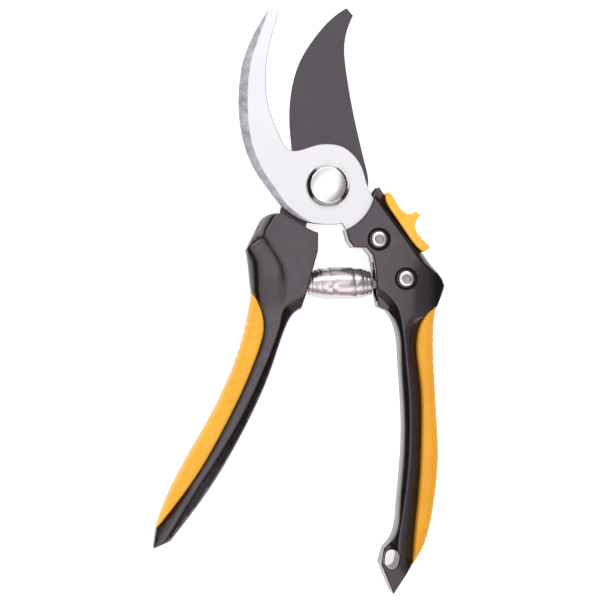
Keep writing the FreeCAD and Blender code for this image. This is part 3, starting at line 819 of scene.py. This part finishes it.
def make_right_handle():
    """The right casting, with the hook's slot, the catch's slot and the wells."""
    outline, *openings = level_loops("right_handle", HANDLE_BOTTOM)
    lanyard = min(openings, key=lambda loop: loop[:, 1].mean())
    lines = crease_set(RIGHT_SHOULDER, 0.35, -0.25, 1.75, 2.25)
    lines += crease_set(RIGHT_INNER, -0.4, 0.25)
    lines += [moved(smooth_line(RIGHT_SEAM, STEP), side) for side in (0.5, -0.5)]
    sunk = HANDLE_TOP - SCREW_WELL_FLOOR
    tang = [(19.0, 0.0), (17.6, -6.0), (33.3, -34.0), (29.1, -40.0), (23.7, -41.8), (12.0, -42.0),
            (2.0, -24.0), (2.0, -12.0)]
    spring_recess = bore(SPRING_AXIS, SPRING_RECESS, 5.0, high("right_spring_seat")[0])
    piece = plate("handle_right", outline, HANDLE_TOP, HANDLE_BOTTOM, right_drop, right_drop, [LACQUER],
                  lines=lines, back_lines=lines, edge=0.35, thin=2.0, holes=[even_loop(lanyard, STEP)],
                  wells=[(tuple(c), SCREW_WELL, sunk) for c in SCREW_CENTRES],
                  back_wells=[(tuple(c), *NUT_WELL) for c in SCREW_CENTRES], sunk_taper=0.55,
                  cutters=[prism(tang, *slot_heights("hook_jaw")), spring_recess,
                           prism(catch_slot(), *slot_heights("cutting_blade"))])
    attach(piece, "hook_side")
    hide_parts("right_handle")


LOCK_WAY = Vector(frame["joints"][1]["axis"]).normalized()
LOCK_OUT = Vector((LOCK_WAY.y, -LOCK_WAY.x, 0))


def lock_point(along, away):
    """A point by its distance along the lock's slide and away from the pivot across it."""
    p = LOCK_WAY * along + LOCK_OUT * away
    return p.x, p.y


def catch_slot():
    """The slot that the lock's catch slides in, open to the handle's outer edge."""
    upper, lower, floor, outside = 0, -38, 11.8, 22
    return [lock_point(*corner) for corner in ((upper, floor), (upper, outside), (lower, outside), (lower, floor))]


TOOTH_PITCH = 3.1
TOOTH_DEPTH = 0.42
GROOVE_DEPTH = 0.22


def make_grip(name, node, seam, outer, body, side, follow, rubber):
    """A soft pad: crowned, ribbed across, with a notched outer edge in two places."""
    z_top, z_bottom = high(node)[2], low(node)[2]
    run = smooth_line(outer, 0.5)
    along = np.concatenate([[0], np.cumsum(np.hypot(*np.diff(run, axis=0).T))])
    tooth = 0.5 - 0.5 * np.cos(2 * math.pi * along / TOOTH_PITCH)
    y = run[:, 1]
    where = np.maximum(ramp((y + 72) / 5) * ramp((-46 - y) / 5), ramp((-122 - y) / 4) * ramp((y + 134) / 4))
    run[:, 0] -= side * TOOTH_DEPTH * tooth * where
    loop = np.vstack([smooth_line(seam, 0.7), run[::-1][1:-1]])
    if area(loop) < 0:
        loop = loop[::-1]

    def drop(p):
        seam_d, outer_d = from_line(p, seam), from_line(p, outer)
        fall = np.maximum(round_over(seam_d, 1.3, 1.1), round_over(outer_d, 3.4, 4.2)) + follow(p)
        across = 0.94 * p[:, 1] + side * 0.34 * p[:, 0]
        groove = (0.5 + 0.5 * np.cos(2 * math.pi * across / TOOTH_PITCH)) ** 3
        return fall + GROOVE_DEPTH * groove * ramp(seam_d / 1.5)

    lines = [moved(smooth_line(seam, STEP), s) for s in (-0.4, 0.4, -0.9, 0.9)]
    lines += [moved(smooth_line(outer, STEP), s) for s in (-0.7, 0.7, -1.3, 1.3, -2.2, 2.2)]
    piece = plate(name, loop, z_top, z_bottom, drop, drop, [rubber], lines=lines, back_lines=lines, step=0.55,
                  edge=0.3, thin=2.0, sharp=40.0)
    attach(piece, body)
    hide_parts(node)


HOOK_OUTER = [(-22.2, 64.3), (-26.1, 55.7), (-30.5, 44.9), (-32.2, 32.0), (-30.8, 16.8), (-26.7, 6.0),
              (-20.8, -2.6), (-15.1, -9.1), (-7.3, -13.4), (-2.6, -14.3), (7.0, -14.3)]
BEVEL_HEIGHTS = (-14.0, -11.0, -3.0, 17.0, 32.0, 45.0, 61.0, 64.0)
BEVEL_WIDTHS = (0.5, 1.6, 2.4, 3.0, 3.3, 2.9, 1.5, 1.2)


def make_hook():
    """The hooked counter-blade, with its blasted outer bevel on both faces."""
    top, bottom = high("hook_jaw")[2], low("hook_jaw")[2]
    outline = level_loops("hook_jaw", top)[0]
    outer = smooth_line(HOOK_OUTER, STEP)
    crease = moved(outer, np.interp(outer[:, 1], BEVEL_HEIGHTS, BEVEL_WIDTHS)[:, None])

    def front(p):
        fade = ramp((-3.0 - p[:, 0]) / 5)
        return fade * facets(-beyond(p, crease), (0.4, 0.3), (1.0, 0.42), (0.9, 0.62), (9, 0.8))

    def rough(p, facing):
        return (beyond(p, crease) < 0) & (p[:, 0] < -4.5)

    lines = [moved(crease, side) for side in (0.0, 0.3, -0.3, -1.8)]
    piece = plate("hook_counter_blade", outline, top, bottom, front, front, [FACE, BLASTED], lines=lines,
                  back_lines=lines, edge=0.25, rough=rough)
    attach(piece, "hook_side")
    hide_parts("hook_jaw")


BLADE_EDGE = [(9.0, 65.9), (7.4, 64.7), (1.8, 60.7), (-4.2, 53.9), (-9.7, 45.0), (-12.4, 36.3), (-13.5, 25.8),
              (-12.9, 15.5), (-12.6, 8.0), (-13.2, 3.0)]


def make_blade():
    """The coated blade: flat in front, with its ground bevel on the back."""
    top, bottom = high("cutting_blade")[2], low("cutting_blade")[2]
    outline = level_loops("cutting_blade", top)[0]
    edge_line = smooth_line(BLADE_EDGE, STEP)
    ground = 6.5

    def back(p):
        d = from_line(p, edge_line)
        faded = ramp((p[:, 1] - 3) / 8)
        return faded * (top - bottom - 0.35) * np.clip(1 - d / ground, 0, 1)

    def rough(p, facing):
        if facing >= 0:
            return np.zeros(len(p), bool)
        return (from_line(p, edge_line) < ground) & (p[:, 1] > 4)

    lines = [moved(edge_line, side) for side in (ground, 0.6 * ground)]
    piece = plate("cutting_blade_shape", outline, top, bottom, flat_face, back, [COATING, GROUND],
                  back_lines=lines, edge=0.18, thin=0.0, rough=rough)
    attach(piece, "blade_side")
    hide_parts("cutting_blade")


def make_bolt():
    """The pivot bolt, with a flat chamfered head."""
    foot, head = low("pivot_bolt")[2], high("pivot_bolt")[2]
    radius = high("pivot_bolt")[0]
    under = high("hook_jaw")[2] + 0.04
    shank = 4.0
    profile = [(0.0, head), (3.0, head - 0.02), (6.25, head - 0.06), (6.42, head - 0.12), (6.55, head - 0.22),
               (radius - 0.18, head - 1.12), (radius - 0.05, head - 1.28), (radius, head - 1.5),
               (radius, under + 0.12), (radius - 0.12, under), (shank, under), (shank, foot + 0.4),
               (shank - 0.4, foot), (0.0, foot)]
    piece = turned("pivot_bolt_turned", profile, [BOLT_STEEL], 96, 50)
    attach(piece, "hook_side")
    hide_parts("pivot_bolt")


def make_nut():
    """The pivot's hexagon nut, at the back."""
    foot, top = low("pivot_nut")[2], high("pivot_nut")[2]
    flat = 6.5
    corner = flat / math.cos(math.pi / 6)
    hole, face = 4.02, 6.3
    profile = [(hole, top), (face, top), (corner, top - 0.7), (corner, foot + 0.7), (face, foot), (4.6, foot),
               (hole, foot + 0.5)]
    solid = Solid()
    turned_ring(solid, profile, (0, 0), 96, hexagon(flat))
    piece = solid.build("pivot_nut_hexagon", [NUT_STEEL], 28)
    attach(piece, "hook_side")
    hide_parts("pivot_nut")


def screw(solid, centre, top, under, foot):
    """A domed screw with a hexagon socket."""
    socket = hexagon(1.42)
    head, shank = 2.8, 1.6

    def ring(radius, z, limit=lambda r, angle: r):
        return solid.add(turned_row(centre, limit, radius, z, 48))

    rows = [ring(0.01, top - 1.3), ring(9, top - 1.25, socket), ring(9, top - 0.16, socket)]
    rows += [ring(radius, z) for radius, z in (
        (1.66, top - 0.02), (2.2, top - 0.06), (2.55, top - 0.2), (2.74, top - 0.5), (head, top - 0.9),
        (head, under), (shank, under), (shank, foot + 0.3), (shank - 0.3, foot), (0.01, foot))]
    for number, (one, two) in enumerate(zip(rows, rows[1:])):
        # The socket's floor and walls take the darker second finish: painted shade inside the recess.
        solid.band(two, one, int(number < 2))


def make_nuts():
    """The handle screws' two nuts, at the back."""
    foot, top = low("handle_nuts")[2], high("handle_nuts")[2]
    hole, corner = 1.62, 2.72
    profile = [(hole, top), (corner, top), (corner, foot + 0.3), (2.3, foot), (1.9, foot), (hole, foot + 0.3)]
    solid = Solid()
    for centre in SCREW_CENTRES:
        turned_ring(solid, profile, centre, 48, hexagon(2.36))
    piece = solid.build("handle_nuts_hexagon", [NUT_STEEL], 28)
    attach(piece, "hook_side")
    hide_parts("handle_nuts")


def make_screws():
    """The two button-head screws through the right handle."""
    top, foot = high("handle_screws")[2], low("handle_screws")[2]
    solid = Solid()
    for centre in SCREW_CENTRES:
        screw(solid, centre, top, top - 1.9, foot)
    piece = solid.build("handle_screws_domed", [SCREW_STEEL, SOCKET_STEEL_SHADED], 35)
    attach(piece, "hook_side")
    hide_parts("handle_screws")


def spring_station(turn):
    """The strip's middle along the axis and its radius, at a count of turns from the widest place."""
    middle = (low("volute_spring")[0] + high("volute_spring")[0]) / 2
    size = abs(turn)
    reach = 3.7 * min(size, 1.0) + 1.45 * max(size - 1.0, 0.0)
    return middle + math.copysign(reach, turn), 5.84 - 0.5 * size


def make_spring():
    """The volute spring: one strip, wound so that its turns overlap."""
    turns, steps, half, gauge = 7.6, 48, 4.3, 0.21
    count = int(turns * steps)
    third, lip, thinned = half / 3, half - 0.12, 0.6 * gauge
    spring_y, spring_z = SPRING_AXIS
    solid = Solid()
    rows, share = [], []
    section = [(-half, -thinned), (-half, thinned), (-lip, gauge), (-third, gauge), (third, gauge),
               (lip, gauge), (half, thinned), (half, -thinned), (lip, -gauge), (third, -gauge),
               (-third, -gauge), (-lip, -gauge)]
    for i in range(count + 1):
        turn = turns * (i / count - 0.5)
        x, radius = spring_station(turn)
        angle = 2 * math.pi * turn
        rows.append(solid.add([(x + side, spring_y + (radius + layer) * math.cos(angle),
                                spring_z + (radius + layer) * math.sin(angle)) for side, layer in section]))
        share += [i / count] * len(section)
    for one, two in zip(rows, rows[1:]):
        solid.band(one, two)
    solid.face(rows[0][::-1])
    solid.face(rows[-1])
    mesh = bpy.data.meshes.new("volute_strip")
    mesh.from_pydata([(x * MM, y * MM, z * MM) for x, y, z in solid.verts], [], solid.faces)
    mesh.materials.append(CHROME)
    piece = bpy.data.objects.new("volute_strip", mesh)
    bpy.context.scene.collection.objects.link(piece)
    finish_edges(mesh, 40)
    left, right = low("volute_spring"), high("volute_spring")
    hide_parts("volute_spring")
    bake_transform(piece, "blade_side", "hook_side", start=(left[0] * MM, spring_y * MM, spring_z * MM),
             end=(right[0] * MM, spring_y * MM, spring_z * MM))
    # each place along the strip turns as one, so the strip keeps its width as the turns slide together
    mesh.attributes["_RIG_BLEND"].data.foreach_set("value", np.array(share, np.float32))


def make_lock():
    """The thumb cap: a tall comb outside the handle, with a thin skirt lapping over the handle's bevel."""
    top, bottom = high("thumb_lock")[2], low("thumb_lock")[2]
    cap = level_loops("thumb_lock", bottom)[0]
    lap = level_loops("thumb_lock", top)[0]
    step = 0.7

    def rounded(p, loop):
        return round_over(from_edge(p, even_loop(loop, step)), 0.9, 0.35)

    def cap_drop(p):
        return rounded(p, cap)

    def skirt_drop(p):
        # a shallow dish along the thumb's spur
        spur = from_line(p, [lock_point(-26.5, 14.0), lock_point(-25.0, 27.0)])
        return rounded(p, lap) + 0.3 * np.exp(-(spur / 2.4) ** 2)

    main = plate("thumb_lock_cap", cap, top - 0.4, bottom, cap_drop, cap_drop, [PLASTIC], step=step,
                 edge=0.25, sharp=38)
    skirt = plate("thumb_lock_skirt", lap, top, top - 1.3, skirt_drop, flat_face, [PLASTIC], step=step,
                  edge=0.25, thin=0.1, sharp=38)
    for piece in (main, skirt):
        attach(piece, "lock")
        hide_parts("thumb_lock")


make_left_handle()
make_right_handle()
make_grip("grip_left", "left_grip", LEFT_SEAM, LEFT_OUTER, "blade_side", -1, lambda p: flank_roll(p, GRIP_FOLLOWS),
          RUBBER_LEFT)
make_grip("grip_right", "right_grip", RIGHT_SEAM, RIGHT_OUTER, "hook_side", 1, heel_drop, RUBBER_RIGHT_SHADED)
make_hook()
make_blade()
make_bolt()
make_nut()
make_nuts()
make_screws()
make_spring()
make_lock()

# CAD nodes that show as they are.
KEPT = {"blade_tang_pins": PLAIN, "left_spring_seat": PLAIN, "right_spring_seat": PLAIN, "lock_catch": PLAIN,
        "lock_screw": PLAIN, "disc_spring": SPRING_STEEL, "detent_leaf": SPRING_STEEL,
        "thrust_washer": NUT_STEEL, "pivot_bushing": BRONZE}
for name, finish in KEPT.items():
    for place in frame["nodes"][name].material_slots:
        place.material = finish


# ---------------------------------------------------------------- stage

def make_floor():
    """A plain pale floor that glows a little, so that it stays evenly light."""
    half, gap = 3.0, 0.0002
    mesh = bpy.data.meshes.new("floor")
    corners = [(-half, -half, 0), (half, -half, 0), (half, half, 0), (-half, half, 0)]
    mesh.from_pydata(corners, [], [(0, 1, 2, 3)])
    made = material("pale_floor", Roughness=0.9)
    cloud = texture(made, "ShaderNodeTexNoise", 0.002, Detail=2.0)
    colours(made, cloud, [(0.3, (0.74, 0.74, 0.74)), (0.7, (0.77, 0.77, 0.77))])
    shader = made.node_tree.nodes["Principled BSDF"]
    shader.inputs["Emission Color"].default_value = (1, 1, 1, 1)
    shader.inputs["Emission Strength"].default_value = 0.74
    mesh.materials.append(made)
    floor = bpy.data.objects.new("floor", mesh)
    floor.location.z = -gap
    bpy.context.scene.collection.objects.link(floor)


def make_world():
    """A ceiling that brightens from the left towards the right and falls off further out, bright walls beyond
    both ends of the tool, and dark walls left and right."""
    world = bpy.data.worlds.new("studio")
    bpy.context.scene.world = world
    world.use_nodes = True
    tree = world.node_tree
    back = tree.nodes["Background"]
    where = tree.nodes.new("ShaderNodeTexCoord")
    split = tree.nodes.new("ShaderNodeSeparateXYZ")
    tree.links.new(where.outputs["Generated"], split.inputs["Vector"])

    def spread(value, a, b, x, y):
        """A smooth change from x to y as a value goes from a to b."""
        node = tree.nodes.new("ShaderNodeMapRange")
        node.interpolation_type = "SMOOTHSTEP"
        for key, number in zip(("From Min", "From Max", "To Min", "To Max"), (a, b, x, y)):
            node.inputs[key].default_value = number
        tree.links.new(value, node.inputs["Value"])
        return node.outputs["Result"]

    def combine(kind, one, two):
        """One step of arithmetic on two values or sockets."""
        node = tree.nodes.new("ShaderNodeMath")
        node.operation = kind
        for socket, value in zip(node.inputs, (one, two)):
            if isinstance(value, (int, float)):
                socket.default_value = value
            else:
                tree.links.new(value, socket)
        return node.outputs[0]

    lean = combine("SUBTRACT", split.outputs["X"], split.outputs["Y"])
    far = combine("SUBTRACT", split.outputs["X"], combine("MULTIPLY", split.outputs["Y"], 0.5))
    glow = combine("MULTIPLY", spread(lean, -0.35, 0.10, 0.85, 1.8), spread(far, 0.06, 0.34, 1.0, 0.2))
    ceiling = combine("MULTIPLY", spread(split.outputs["Z"], 0.55, 0.75, 0.012, 1.0), glow)
    ahead = spread(split.outputs["Y"], 0.80, 0.92, 0.0, 0.9)
    behind = spread(split.outputs["Y"], -0.55, -0.78, 0.0, 0.45)
    sides = combine("MAXIMUM", ahead, behind)
    above = spread(split.outputs["Z"], -0.05, 0.05, 0.0, 1.0)
    strength = combine("MAXIMUM", ceiling, combine("MULTIPLY", sides, above))
    tree.links.new(strength, back.inputs["Strength"])
    back.inputs["Color"].default_value = (1.0, 0.985, 1.0, 1.0)


def make_light(name, place, size, power):
    """A softbox that faces the tool's middle."""
    light = bpy.data.lights.new(name, "AREA")
    light.shape = "RECTANGLE"
    light.size, light.size_y = size
    light.energy = power
    lamp = bpy.data.objects.new(name, light)
    lamp.location = place
    lamp.rotation_euler = (Vector((0, -0.04, 0)) - Vector(place)).to_track_quat("-Z", "Y").to_euler()
    bpy.context.scene.collection.objects.link(lamp)


def make_camera():
    """Above the tool and a little to its left, so that the handles' left walls show."""
    centre = Vector((-10.3, -41.5, 15.2)) * MM
    away, tilt, view = 0.8, math.radians(5.5), 0.216
    data = bpy.data.cameras.new("camera")
    sensor = 36.0
    data.sensor_width = sensor
    data.lens = sensor * away / view
    data.clip_start = 0.01
    camera = bpy.data.objects.new("camera", data)
    camera.location = centre + away * Vector((-math.sin(tilt), 0, math.cos(tilt)))
    camera.rotation_euler = (0, -tilt, 0)
    bpy.context.scene.collection.objects.link(camera)
    bpy.context.scene.camera = camera


make_floor()
make_world()
make_light("softbox_top", (-0.2, 0.9, 1.1), (2.0, 0.5), 11.0)
make_light("softbox_foot", (0.4, -1.0, 1.0), (1.2, 0.8), 4.0)
make_camera()
bpy.context.scene.view_settings.view_transform = "Standard"
